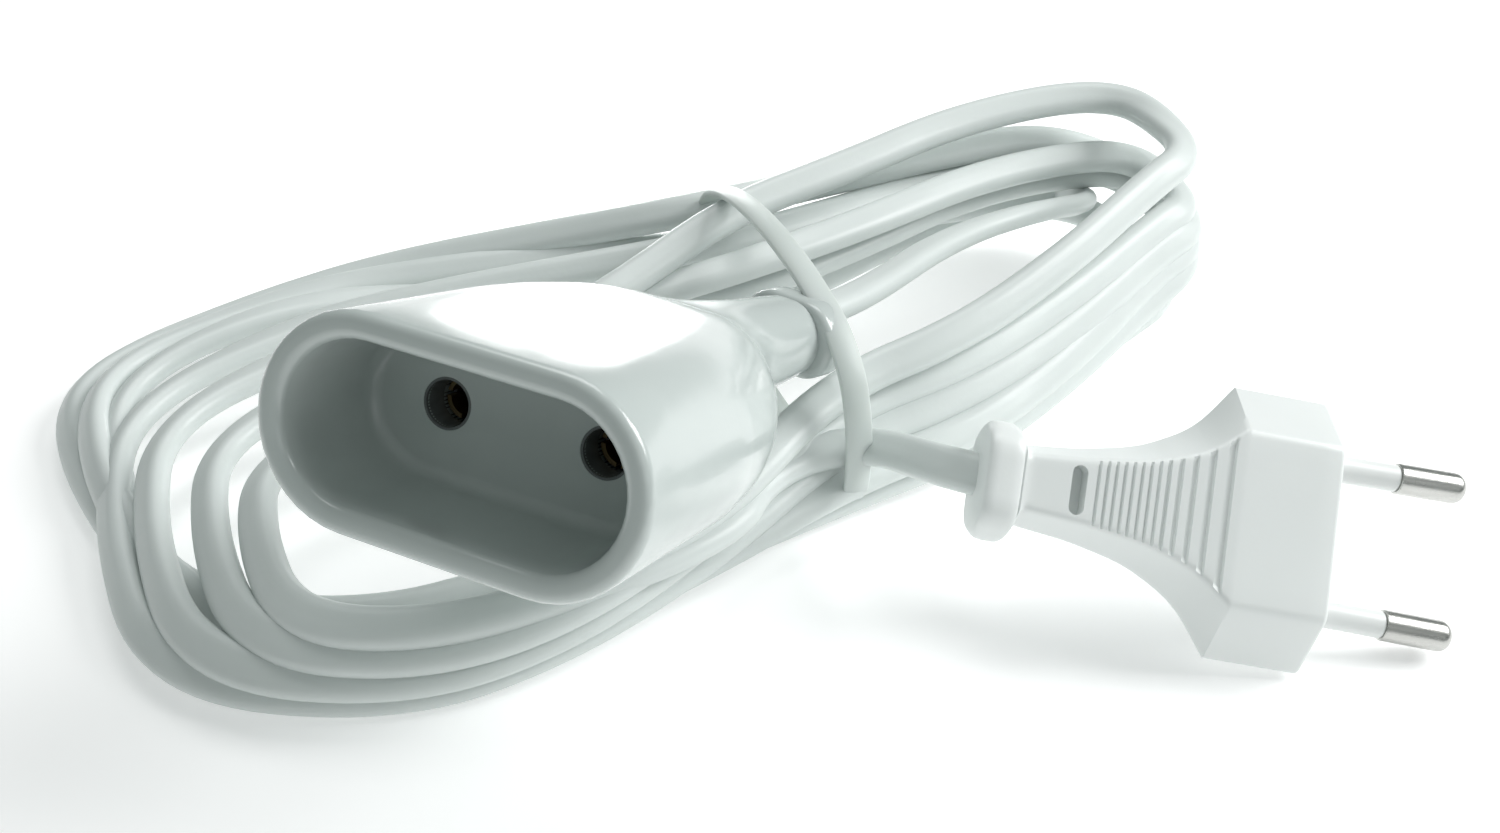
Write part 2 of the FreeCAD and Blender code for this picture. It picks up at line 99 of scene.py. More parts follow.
# ---------------------------------------------------------------- camera
CAMERA_AT = (-0.02124, -0.1599, 0.13818)
CAMERA_TILT = math.radians(53.5)            # from looking straight down
SENSOR_WIDTH = 36.0
LENS = 36.0
NEAREST = 0.005
camera_data = bpy.data.cameras.new("camera")
camera_data.sensor_width = SENSOR_WIDTH
camera_data.lens = LENS
camera_data.clip_start = NEAREST
camera = bpy.data.objects.new("camera", camera_data)
camera.location = CAMERA_AT
camera.rotation_euler = (CAMERA_TILT, 0.0, 0.0)
bpy.context.scene.collection.objects.link(camera)
bpy.context.scene.camera = camera


# ---------------------------------------------------------------- mesh helpers
WELD = 1e-6                                 # metres within which vertices are joined
ROUND_SEGMENTS = 48


def add_mesh(name, vertices, faces, place=None, sharp=40.0):
    """Object of one smooth mesh whose edges are crisp where the faces turn by `sharp` degrees."""
    mesh = bpy.data.meshes.new(name)
    mesh.from_pydata([tuple(v) for v in vertices], [], faces)
    work = bmesh.new()
    work.from_mesh(mesh)
    bmesh.ops.remove_doubles(work, verts=work.verts, dist=WELD)
    bmesh.ops.recalc_face_normals(work, faces=work.faces)
    if place is not None:
        bmesh.ops.transform(work, matrix=place, verts=work.verts)
    work.to_mesh(mesh)
    work.free()
    crisp_edges(mesh, sharp)
    piece = bpy.data.objects.new(name, mesh)
    bpy.context.scene.collection.objects.link(piece)
    return piece


def crisp_edges(mesh, sharp):
    """Shades the mesh smooth, with a crisp edge where its faces turn by `sharp` degrees."""
    work = bmesh.new()
    work.from_mesh(mesh)
    for face in work.faces:
        face.smooth = True
    for edge in work.edges:
        turn = edge.calc_face_angle(0.0) if edge.is_manifold else math.pi
        edge.smooth = turn < math.radians(sharp)
    work.to_mesh(mesh)
    work.free()


def skin(rings, close=False):
    """Quads between successive closed rings of equal length; the ends are capped or joined."""
    count = len(rings[0])
    vertices = [point for ring in rings for point in ring]
    faces = []
    steps = len(rings) if close else len(rings) - 1
    for i in range(steps):
        here, there = i * count, (i + 1) % len(rings) * count
        for j in range(count):
            k = (j + 1) % count
            faces.append((here + j, here + k, there + k, there + j))
    if not close:
        faces.append(tuple(range(count)))
        faces.append(tuple(range((len(rings) - 1) * count, len(rings) * count)))
    return vertices, faces


def slot_outline(width, height, arc=20, flat=8):
    """Stadium about the origin, its long side along X."""
    radius = height / 2
    reach = (width - height) / 2
    points = []
    for sign in (1, -1):
        for i in range(arc + 1):
            angle = sign * math.pi / 2 - math.pi * i / arc
            points.append((sign * reach + radius * math.cos(angle), radius * math.sin(angle)))
        for i in range(1, flat):
            points.append((mix(sign * reach, -sign * reach, i / flat), -sign * radius))
    return points


def cut(piece, cutters):
    """Cuts the cutters out of the piece for good."""
    for cutter in cutters:
        modifier = piece.modifiers.new("cut", "BOOLEAN")
        modifier.operation = "DIFFERENCE"
        modifier.solver = "EXACT"
        modifier.object = cutter
        depsgraph = bpy.context.evaluated_depsgraph_get()
        made = bpy.data.meshes.new_from_object(piece.evaluated_get(depsgraph))
        piece.modifiers.clear()
        piece.data = made
        bpy.data.objects.remove(cutter)
    crisp_edges(piece.data, sharp=35.0)


def smooth_step(a, b, slope_a, slope_b, count):
    """`count` points from a towards b on the cubic that has these slopes at its ends."""
    points = []
    for i in range(count):
        t = i / count
        points.append((1 + 2 * t) * (1 - t) ** 2 * a + t * (1 - t) ** 2 * slope_a
                      + t * t * (3 - 2 * t) * b + t * t * (t - 1) * slope_b)
    return points


def smooth_rows(rows, step):
    """Rows of numbers filled in along a smooth curve, about `step` apart in the first number."""
    rows = np.array(rows, float)
    slope = np.gradient(rows, rows[:, 0], axis=0)
    filled = []
    for a, b, slope_a, slope_b in zip(rows, rows[1:], slope, slope[1:]):
        gap = b[0] - a[0]
        count = max(1, int(round(gap / step)))
        filled += smooth_step(a, b, gap * slope_a, gap * slope_b, count)
    return filled + [rows[-1]]


def round_ring(radius, height, x=0.0):
    """Circle about local Z, or about a line beside it at `x`."""
    return [Vector((x + radius * math.cos(math.tau * i / ROUND_SEGMENTS),
                    radius * math.sin(math.tau * i / ROUND_SEGMENTS), height))
            for i in range(ROUND_SEGMENTS)]


# ---------------------------------------------------------------- cord
CORD_WIDTH = 5.6
CORD_THICK = 3.5
# millimetres on the hank's own axes: along, across, height
SOCKET_LEAD = ((0.7, -20.6, 27.5), (9.0, -17.5, 26.0), (21.4, -11.3, 23.0), (43.2, 3.6, 20.3),
               (63.7, 11.0, 17.5))
PLUG_LEAD = ((-3.0, -32.5, 11.8), (6.5, -28.6, 11.3), (15.0, -31.4, 12.5), (16.5, -48.5, 20.5),
             (27.0, -55.4, 19.1), (36.0, -59.3, 17.2))
TIE_ALONG = 11.4                            # where the tie holds the turns together
# One row for each turn, which runs from its right end along the far side to its left end and back.
# right: reach, across (near, tip, far), height (near, tip, far); far: across and height at the tie
# left: reach, across (far, tip, near), height (far, tip, near), tuck; near: as far
TURNS = (
    ((79.0, (9.0, 17.0, 31.0), (17.0, 13.0, 6.5)), (17.5, 4.5),
     (85.5, (38.0, 9.0, -31.0), (10.0, 5.0, 3.0), 0.09), (-21.5, 3.5)),
    ((84.0, (-9.0, 9.0, 28.0), (5.0, 7.0, 10.0)), (23.5, 15.0),
     (88.0, (43.0, 14.0, -37.0), (8.5, 6.5, 2.4), 0.12), (-29.5, 2.8)),
    ((88.0, (-9.0, 9.5, 28.5), (9.0, 14.0, 21.5)), (24.3, 21.8),
     (92.0, (47.5, 21.0, -42.0), (6.5, 3.0, 2.2), 0.16), (-30.5, 6.6)),
    ((88.5, (-7.0, 9.5, 27.5), (12.5, 14.0, 16.5)), (18.5, 18.0),
     (85.8, (31.0, -3.0, -45.5), (10.0, 5.5, 2.2), 0.05), (-26.5, 9.8)),
    ((88.5, (-5.0, 9.0, 23.0), (15.5, 16.5, 16.5)), (9.0, 15.0),
     (80.5, (21.0, -10.0, -46.5), (12.0, 8.5, 5.2), 0.05), (-23.5, 13.3)),
    ((87.5, (-2.0, 9.0, 20.0), (18.5, 19.2, 21.0)), (7.5, 20.3),
     (73.0, (10.0, -16.0, -46.5), (13.0, 10.5, 8.5), 0.05), (-23.5, 17.5)),
    ((86.5, (-4.0, 13.0, 26.0), (28.0, 29.5, 29.6)), (16.5, 25.0),
     (67.0, (-2.0, -22.0, -45.0), (14.0, 12.5, 11.8), 0.05), PLUG_LEAD[0][1:]),
)
SPOTS = (0.34, 0.68)                        # a lane's two middle points, from the tie to an end
# the share of the way, across and in height, that a lane has gone at those two points
LEFT_FAR = ((0.48, 0.85), (0.42, 0.75))
LEFT_NEAR = ((0.62, 0.98), (0.40, 0.80))
RIGHT_FAR = ((0.42, 0.98), (0.35, 0.75))
RIGHT_NEAR = ((0.08, 0.48), (0.30, 0.65))
END_DEPTH = 0.40                            # how far an end's curve runs, as a share of its width
END_TUCK = 0.05                             # how far its shoulders lie behind its tip, as a share
SHOULDER = 0.70                             # how far the shoulders stand out from the tip
# how the cord's flat side tips outward, in degrees, and the mm over which it turns
NEAR_LEANS = (14.0, 54.0)                   # near lanes left of the tie, and right of it
NEAR_LEAN_SPAN = (0.0, 40.0)
FAR_LEAN = -38.0
FAR_LEAN_SPAN = (-2.0, 16.0)
LEFT_END_LEAN = 46.0
LEFT_END_SPAN = (45.0, 75.0)
SOCKET_END_LEAN = 4.0
PLUG_END_LEAN = 44.0
SETTLE = 60                                 # line points over which the cord turns at each end
LEAN_WINDOW = 25                            # line points that its tipping is averaged over
LINE_STEPS = 12                             # line points to each control point


def lane(tie, end, ease):
    """A lane's middle points between the tie and where an end's curve begins."""
    return [(mix(TIE_ALONG, end[0], spot), mix(tie[0], end[1], across), mix(tie[1], end[2], height))
            for spot, across, height in zip(SPOTS, *ease)]


def end_curve(sign, reach, across, height, tuck=END_TUCK):
    """Five points round one end of a turn: lane, shoulder, tip, shoulder, lane."""
    width = abs(across[2] - across[0])
    points = [(sign * (reach - END_DEPTH * width), across[0], height[0])]
    points.append((sign * (reach - END_TUCK * width), mix(across[1], across[0], SHOULDER),
                   mix(height[1], height[0], 0.5)))
    points.append((sign * reach, across[1], height[1]))
    points.append((sign * (reach - tuck * width), mix(across[1], across[2], SHOULDER),
                   mix(height[1], height[2], 0.5)))
    points.append((sign * (reach - END_DEPTH * width), across[2], height[2]))
    return points


def cord_points():
    """The control points of the whole cord, from inside the socket's neck to inside the plug."""
    points = list(SOCKET_LEAD)
    held = None                             # where the last turn's near lane passes the tie
    for right, far, left, near in TURNS:
        curve = end_curve(1, *right)
        if held:
            points.append((TIE_ALONG,) + held)
            points += lane(held, curve[0], RIGHT_NEAR) + curve
        else:
            points += curve[2:]
        points += reversed(lane(far, curve[-1], RIGHT_FAR))
        points.append((TIE_ALONG,) + far)
        curve = end_curve(-1, *left)
        points += lane(far, curve[0], LEFT_FAR) + curve
        points += reversed(lane(near, curve[-1], LEFT_NEAR))
        held = near
    return points + list(PLUG_LEAD)


def spline_line(points, steps):
    """Points read from the NURBS spline that has these control points."""
    curve = bpy.data.curves.new("cord_line", "CURVE")
    curve.dimensions = "3D"
    spline = curve.splines.new("NURBS")
    spline.points.add(len(points) - 1)
    for held, point in zip(spline.points, points):
        held.co = (*(hank_place @ Vector(point)), 1.0)
    spline.order_u = 3
    spline.use_endpoint_u = True
    spline.resolution_u = steps
    holder = bpy.data.objects.new("cord_line", curve)
    bpy.context.scene.collection.objects.link(holder)
    bpy.context.view_layer.update()
    depsgraph = bpy.context.evaluated_depsgraph_get()
    mesh = bpy.data.meshes.new_from_object(holder.evaluated_get(depsgraph))
    line = [v.co.copy() for v in mesh.vertices]
    bpy.data.objects.remove(holder)
    return line


def lean_at(place):
    """Degrees that the cord's flat side tips outward, by its place in mm on the hank's axes."""
    along, across, _ = place
    near_lean = mix(*NEAR_LEANS, ramp(along, *NEAR_LEAN_SPAN))
    lane_lean = mix(near_lean, FAR_LEAN, ramp(across, *FAR_LEAN_SPAN))
    return mix(lane_lean, LEFT_END_LEAN, ramp(-along, *LEFT_END_SPAN))


def cord_tube(line):
    """Flat twin cord swept along the line: its flat side up, tipped outward round the hank."""
    count = len(line)
    inverse = hank_place.inverted()
    leans = [lean_at(inverse @ point) for point in line]
    for i in range(SETTLE):
        leans[i] = mix(SOCKET_END_LEAN, leans[SETTLE], i / SETTLE)
        leans[-1 - i] = mix(PLUG_END_LEAN, leans[-1 - SETTLE], i / SETTLE)
    window = np.ones(LEAN_WINDOW) / LEAN_WINDOW
    leans = np.convolve(np.pad(leans, LEAN_WINDOW // 2, mode="edge"), window, mode="valid")
    outline = slot_outline(CORD_WIDTH * MM, CORD_THICK * MM, arc=7, flat=3)
    rings = []
    for i in range(count):
        ahead = (line[min(i + 1, count - 1)] - line[max(i - 1, 0)]).normalized()
        outward = ahead.cross(Vector((0, 0, 1))).normalized()
        lean = math.radians(leans[i])
        normal = Vector((0, 0, 1)) * math.cos(lean) + outward * math.sin(lean)
        normal = (normal - ahead * normal.dot(ahead)).normalized()
        side = normal.cross(ahead)
        rings.append([line[i] + side * x + normal * y for x, y in outline])
    return add_mesh("cord", *skin(rings))


cord_line = spline_line(cord_points(), LINE_STEPS)
cord = cord_tube(cord_line)


# ---------------------------------------------------------------- socket
MOUTH = (38.0, 17.0)
WALL = 2.9
RECESS_DEPTH = 16.0
RECESS_LIFT = 0.05                          # the floor lies just in front of the carrier's face
RECESS_FILLET = 1.6
RECESS_DEPTHS = (12.0, 8.0, 4.0)
RIM_ROUND = 1.15
WALL_DEPTHS = (8.0, 16.0, 22.0)
PIN_HOLES = 19.0
HOLE_DIA = 5.2
HOLE_WALL = 0.6
CHAMBER_DIA = 6.6
HOLE_END = 34.8
HOLE_LIP = 0.35
LIP_LIFT = 0.06                             # the lip starts just in front of the floor
HOLE_START = 1.0                            # how far in front of the floor a cutter begins
# depth, x, y, yaw, pitch, width, height
SOCKET_SHOULDER = ((26, 0.0, 0.0, 0, 0, 43.8, 22.8), (27.2, 0.0, 0.0, 0, 0, 43.6, 22.8),
                   (37, 0.0, 0.0, 0, 0, 41.0, 22.6), (46, -0.8, 0.6, -4, 2, 34.0, 21.0),
                   (53, -2.2, 1.6, -9, 4, 23.0, 17.0), (61, -4.1, 3.1, -14, 6, 15.5, 14.0),
                   (72.5, -7.9, 5.4, -20, 8, 12.5, 10.5))
SHOULDER_STEP = 1.4
SOCKET_COLLAR = (16.5, 11.0, 4.5)           # width, height and length
COLLAR_ROUND = 1.1


def leaning(yaw, pitch):
    """Rotation that leans local Z by yaw to +X and by pitch to +Y."""
    return (Matrix.Rotation(math.radians(yaw), 3, "Y")
            @ Matrix.Rotation(math.radians(-pitch), 3, "X"))


def socket_ring(depth, width, height, x=0.0, y=0.0, yaw=0.0, pitch=0.0):
    """Stadium ring across the socket."""
    turn = leaning(yaw, pitch)
    centre = Vector((x, y, depth))
    return [centre + turn @ Vector((a, b, 0)) for a, b in slot_outline(width, height)]


def rounded_steps(radius, count=5):
    """(inset, advance) pairs round a quarter circle, from the flat to the side."""
    steps = []
    for i in range(count + 1):
        angle = math.pi / 2 * i / count
        steps.append((radius * (1 - math.sin(angle)), radius * (1 - math.cos(angle))))
    return steps


def socket_mould():
    """Shroud with a rounded rim and a deep recess, shoulder, bent neck and end collar."""
    width, height = MOUTH
    rings = []
    for inset, rise in rounded_steps(RECESS_FILLET):
        rings.append(socket_ring(RECESS_DEPTH - RECESS_LIFT - rise, width - 2 * inset,
                                 height - 2 * inset))
    for depth in RECESS_DEPTHS:
        rings.append(socket_ring(depth, width, height))
    for inset, fall in reversed(rounded_steps(RIM_ROUND)):
        rings.append(socket_ring(fall, width + 2 * inset, height + 2 * inset))
    outer_width, outer_height = width + 2 * WALL, height + 2 * WALL
    for inset, fall in rounded_steps(RIM_ROUND):
        rings.append(socket_ring(fall, outer_width - 2 * inset, outer_height - 2 * inset))
    for depth in WALL_DEPTHS:
        rings.append(socket_ring(depth, outer_width, outer_height))
    for depth, x, y, yaw, pitch, wide, high in smooth_rows(SOCKET_SHOULDER, SHOULDER_STEP):
        rings.append(socket_ring(depth, wide, high, x, y, yaw, pitch))
    depth, x, y, yaw, pitch, wide, high = SOCKET_SHOULDER[-1]
    collar_wide, collar_high, collar_long = SOCKET_COLLAR
    heading = leaning(yaw, pitch) @ Vector((0, 0, 1))
    front = rounded_steps(COLLAR_ROUND)
    back = [(inset, collar_long - advance) for inset, advance in reversed(front)]
    for inset, advance in front + back:
        centre = Vector((x, y, depth)) + heading * advance
        rings.append(socket_ring(centre.z, collar_wide - 2 * inset, collar_high - 2 * inset,
                                 centre.x, centre.y, yaw, pitch))
    shell = add_mesh("socket_mould", *skin(rings), place=socket_place, sharp=38.0)
    cut(shell, [contact_hole(sign) for sign in (1, -1)])
    return shell


def contact_hole(sign):
    """Stepped hole for one pin, with a small countersink where it meets the recess floor."""
    hole = HOLE_DIA / 2
    profile = ((hole + 2 * HOLE_LIP, RECESS_DEPTH - HOLE_START),
               (hole + HOLE_LIP, RECESS_DEPTH - LIP_LIFT),
               (hole, RECESS_DEPTH + HOLE_LIP), (hole, RECESS_DEPTH + HOLE_WALL),
               (CHAMBER_DIA / 2, RECESS_DEPTH + HOLE_WALL), (CHAMBER_DIA / 2, HOLE_END))
    rings = [round_ring(radius, depth, sign * PIN_HOLES / 2) for radius, depth in profile]
    return add_mesh("hole", *skin(rings), place=socket_place)


socket = socket_mould()

# ---------------------------------------------------------------- plug
PLUG_HEAD = (35.3, 21.6, 13.7)              # width, flat and thickness
HEAD_ROUND = 0.7
HEAD_DEPTHS = (3.0, 6.0, 9.0, 11.5, 12.2)
# depth, width, flat and thickness
GRIP = ((12.5, 35.3, 21.6, 13.7), (16.5, 25.0, 15.5, 13.0), (22.0, 17.6, 11.2, 12.2),
        (30.0, 12.8, 8.4, 11.0), (38.2, 10.6, 7.0, 10.1))
GRIP_STEP = 0.5
NECK = ((38.6, 10.7, 7.0, 10.15), (39.0, 11.3, 7.4, 10.25), (39.3, 12.6, 8.4, 10.4))
NECK_CORNER = 1.2
PLUG_COLLAR = (39.5, 44.0, 16.4, 10.9)      # start, end, width, thickness
COLLAR_BEVELS = 6.0                         # how much narrower the collar's flat is
COLLAR_CORNER = 2.4
COLLAR_SWELL = 1.6
COLLAR_THINNING = (0.5, 0.9)                # towards the grip and the cord, as shares of the swell
COLLAR_STEPS = 6
CORNER_ROUND = 0.8
FINE_RIBS = 8
WIDE_RIBS = 5
RIB_START = 30.4
FINE_PITCH = 1.05
PITCH_GROWTH = 0.3
GROOVE_SHARE = 0.4
GROOVE_DEPTH = 0.45
GROOVE_SLOPE = 0.13                         # how far inside a groove its side ends
GROOVE_SPILL = 0.02                         # how far outside it begins
GROOVE_RUNOUT = 0.7                         # from the broad face's edge to the full depth
BROAD_FACE = 0.3                            # height below the broad face that still belongs to it
LEAST_GAP = 0.05                            # between two sections of the grip
WINDOW = (6.2, 1.9, 32.5, 2.8)              # width, length, depth along the plug, floor height
WINDOW_TOP = 9.0                            # height at which its cutter ends


def bevelled_outline(width, flat, thick, corner=CORNER_ROUND, edge=10, arc=4):
    """Six-sided section with rounded corners, always the same number of points."""
    corners = [Vector(c) for c in ((flat / 2, thick / 2), (width / 2, 0), (flat / 2, -thick / 2),
                                   (-flat / 2, -thick / 2), (-width / 2, 0),
                                   (-flat / 2, thick / 2))]
    points = []
    for i in range(6):
        before, here, after = corners[i - 1], corners[i], corners[(i + 1) % 6]
        start = here + (before - here).normalized() * corner
        end = here + (after - here).normalized() * corner
        for j in range(arc + 1):
            t = j / arc
            points.append(start * (1 - t) ** 2 + here * 2 * t * (1 - t) + end * t * t)
        following = after + (here - after).normalized() * corner
        for j in range(1, edge):
            points.append(end.lerp(following, j / edge))
    return points


def rib_grooves():
    """(start, end) of each groove, from the finest at the neck to the widest at the head."""
    grooves = []
    depth, pitch = RIB_START, FINE_PITCH
    for i in range(FINE_RIBS + WIDE_RIBS):
        grooves.append((depth - pitch * GROOVE_SHARE, depth))
        depth -= pitch
        if i >= FINE_RIBS - 1:
            pitch += PITCH_GROWTH
    return grooves


def grip_depths(smooth):
    """Depths of the grip's sections: the smooth rows' own and both sides of every groove."""
    edges = []
    for start, end in rib_grooves():
        edges += [start - GROOVE_SPILL, start + GROOVE_SLOPE, end - GROOVE_SLOPE,
                  end + GROOVE_SPILL]
    kept = []
    for depth in sorted(set([row[0] for row in smooth] + edges)):
        if not kept or depth - kept[-1] > LEAST_GAP:
            kept.append(depth)
    return kept


def grip_rows():
    """(depth, width, flat, thickness) at each of the grip's sections."""
    smooth = smooth_rows(GRIP, GRIP_STEP)
    table = np.array(smooth)
    return [(depth, *(float(np.interp(depth, table[:, 0], table[:, i])) for i in (1, 2, 3)))
            for depth in grip_depths(smooth)]


def ribbed_ring(depth, wide, level, high):
    """Section of the plug, its broad faces sunk where a groove runs."""
    ring = []
    groove = any(start < depth < end for start, end in rib_grooves())
    for x, y in bevelled_outline(wide, level, high):
        sunk = min(1.0, max(0.0, (level / 2 - abs(x)) / GROOVE_RUNOUT))
        if groove and abs(y) > high / 2 - BROAD_FACE:
            y -= math.copysign(GROOVE_DEPTH * sunk, y)
        ring.append(Vector((x, y, depth)))
    return ring


def collar_rings():
    """Neck fillet and the swollen collar that ends the plug."""
    rings = []
    for depth, wide, level, high in NECK:
        rings.append([Vector((*p, depth)) for p in bevelled_outline(wide, level, high, NECK_CORNER)])
    start, end, wide, high = PLUG_COLLAR
    swell = rounded_steps(COLLAR_SWELL, COLLAR_STEPS)
    halves = ((start, 1, COLLAR_THINNING[0], swell),
              (end, -1, COLLAR_THINNING[1], list(reversed(swell))))
    for edge, sign, thinning, steps in halves:
        for inset, advance in steps:
            outline = bevelled_outline(wide - 2 * inset, wide - COLLAR_BEVELS,
                                       high - thinning * inset, COLLAR_CORNER)
            rings.append([Vector((*p, edge + sign * advance)) for p in outline])
    return rings


def plug_mould():
    """Bevelled head, hollow-curved ribbed grip and rounded end collar."""
    width, flat, thick = PLUG_HEAD
    rows = [(fall, width - 2 * inset, flat - inset, thick - 2 * inset)
            for inset, fall in rounded_steps(HEAD_ROUND)]
    rows += [(depth, width, flat, thick) for depth in HEAD_DEPTHS]
    rings = [ribbed_ring(*row) for row in rows + grip_rows()] + collar_rings()
    shell = add_mesh("plug_mould", *skin(rings), place=plug_place, sharp=32.0)
    cut(shell, [window_cutter()])
    return shell


def window_cutter():
    """Oval prism that sinks the inspection window into the upper broad face."""
    width, length, depth, floor = WINDOW
    rings = [[Vector((x, -level, depth + y)) for x, y in slot_outline(width, length, 12, 4)]
             for level in (floor, WINDOW_TOP)]
    return add_mesh("window", *skin(rings), place=plug_place)


plug = plug_mould()

# ---------------------------------------------------------------- pins
PIN_PITCH = 18.6
PIN_LEAN = math.radians(0.8)
PIN_LENGTH = 19.0
SLEEVE_LENGTH = 10.0
PIN_RADIUS = 2.0
SLEEVE_RADIUS = 1.75
PIN_ROUND = 1.4
PIN_CHAMFER = 0.12                          # where the bare metal meets the sleeve
TIP_ROOT = 1.5                              # radius and length of the tip's end in the sleeve
TIP_MIDDLE = 3.0
TIP_LEAD = 0.1                              # how far before the nose's arc the straight part ends
TIP_STEPS = 8
JACKET_BORE = 1.45
JACKET_ROOT = 1.5                           # how far the sleeve runs into the plug
JACKET_CHAMFER = (0.12, 0.15)               # radius and height


def turned(name, profile, place):
    """Solid of revolution about local Z; the profile is (radius, height) from end to end."""
    rings = [round_ring(radius, height) for radius, height in profile]
    return add_mesh(name, *skin(rings), place=place, sharp=30.0)


def pin_place(sign):
    """Local Z points out of the plug's face, leaning towards the other pin."""
    return (plug_place @ Matrix.Translation((sign * PIN_PITCH / 2, 0, 0))
            @ Matrix.Rotation(-sign * PIN_LEAN, 4, "Y") @ Matrix.Rotation(math.pi, 4, "X"))


def pin_tip(side, sign):
    """Bare metal end of a pin with a rounded nose."""
    profile = [(TIP_ROOT, SLEEVE_LENGTH - TIP_ROOT), (TIP_ROOT, SLEEVE_LENGTH),
               (PIN_RADIUS - PIN_CHAMFER, SLEEVE_LENGTH),
               (PIN_RADIUS, SLEEVE_LENGTH + PIN_CHAMFER),
               (PIN_RADIUS, SLEEVE_LENGTH + TIP_MIDDLE),
               (PIN_RADIUS, PIN_LENGTH - PIN_ROUND - TIP_LEAD)]
    for i in range(1, TIP_STEPS + 1):
        angle = math.pi / 2 * i / TIP_STEPS
        profile.append((PIN_RADIUS - PIN_ROUND + PIN_ROUND * math.cos(angle),
                        PIN_LENGTH - PIN_ROUND + PIN_ROUND * math.sin(angle)))
    return turned("pin_tip_" + side, profile, pin_place(sign))


def pin_jacket(side, sign):
    """Insulating sleeve over the root of a pin."""
    slimmer, lower = JACKET_CHAMFER
    profile = [(JACKET_BORE, -JACKET_ROOT), (SLEEVE_RADIUS, -JACKET_ROOT),
               (SLEEVE_RADIUS, SLEEVE_LENGTH - lower), (SLEEVE_RADIUS - slimmer, SLEEVE_LENGTH),
               (JACKET_BORE, SLEEVE_LENGTH)]
    return turned("pin_jacket_" + side, profile, pin_place(sign))


SIDES = (("left", 1), ("right", -1))
tips = {side: pin_tip(side, sign) for side, sign in SIDES}
jackets = {side: pin_jacket(side, sign) for side, sign in SIDES}

# ---------------------------------------------------------------- tie
BAND_START = 9.5
BAND_WIDTH = 3.8
BAND_WALL = 0.9
BAND_SOFT = 0.25                            # width of its softened edges
BAND_CROWN = 0.06
BAND_STEPS = 10                             # line points to each knot
# across and height of the tie's outer surface round the hank
BAND_ROUND = ((27.4, 9.0), (27.2, 18.0), (24.6, 24.0), (19.0, 27.6), (10.0, 30.2), (0.0, 31.4),
              (-9.0, 31.4), (-17.0, 30.6), (-24.8, 28.8), (-30.6, 24.6), (-33.4, 19.0),
              (-34.3, 12.5), (-33.2, 5.4), (-28.5, 1.6), (-18.0, 0.7), (0.0, 0.6), (16.0, 0.7),
              (24.5, 3.0))


def tie_ring():
    """Thin flat ring pulled round the hank, its edges softened."""
    knots = np.array(BAND_ROUND + BAND_ROUND[:1])
    slopes = np.roll(knots[:-1], -1, axis=0) - np.roll(knots[:-1], 1, axis=0)
    slopes = np.vstack([slopes, slopes[:1]]) / 2
    line = []
    for a, b, slope_a, slope_b in zip(knots, knots[1:], slopes, slopes[1:]):
        line += smooth_step(a, b, slope_a, slope_b, BAND_STEPS)
    half, soft = BAND_WIDTH / 2, BAND_SOFT
    section = [(-half, -BAND_WALL + soft), (-half, -soft), (-half + soft, 0), (0, BAND_CROWN),
               (half - soft, 0), (half, -soft), (half, -BAND_WALL + soft),
               (half - soft, -BAND_WALL), (-half + soft, -BAND_WALL)]
    rings = []
    count = len(line)
    for i in range(count):
        ahead = line[(i + 1) % count] - line[i - 1]
        ahead /= np.linalg.norm(ahead)
        outward = np.array((ahead[1], -ahead[0]))
        ring = []
        for along, rise in section:
            across, height = line[i] + outward * rise
            ring.append(Vector((BAND_START + half + along, across, height)))
        rings.append(ring)
    return add_mesh("tie_ring", *skin(rings, close=True), place=hank_place, sharp=50.0)


tie = tie_ring()


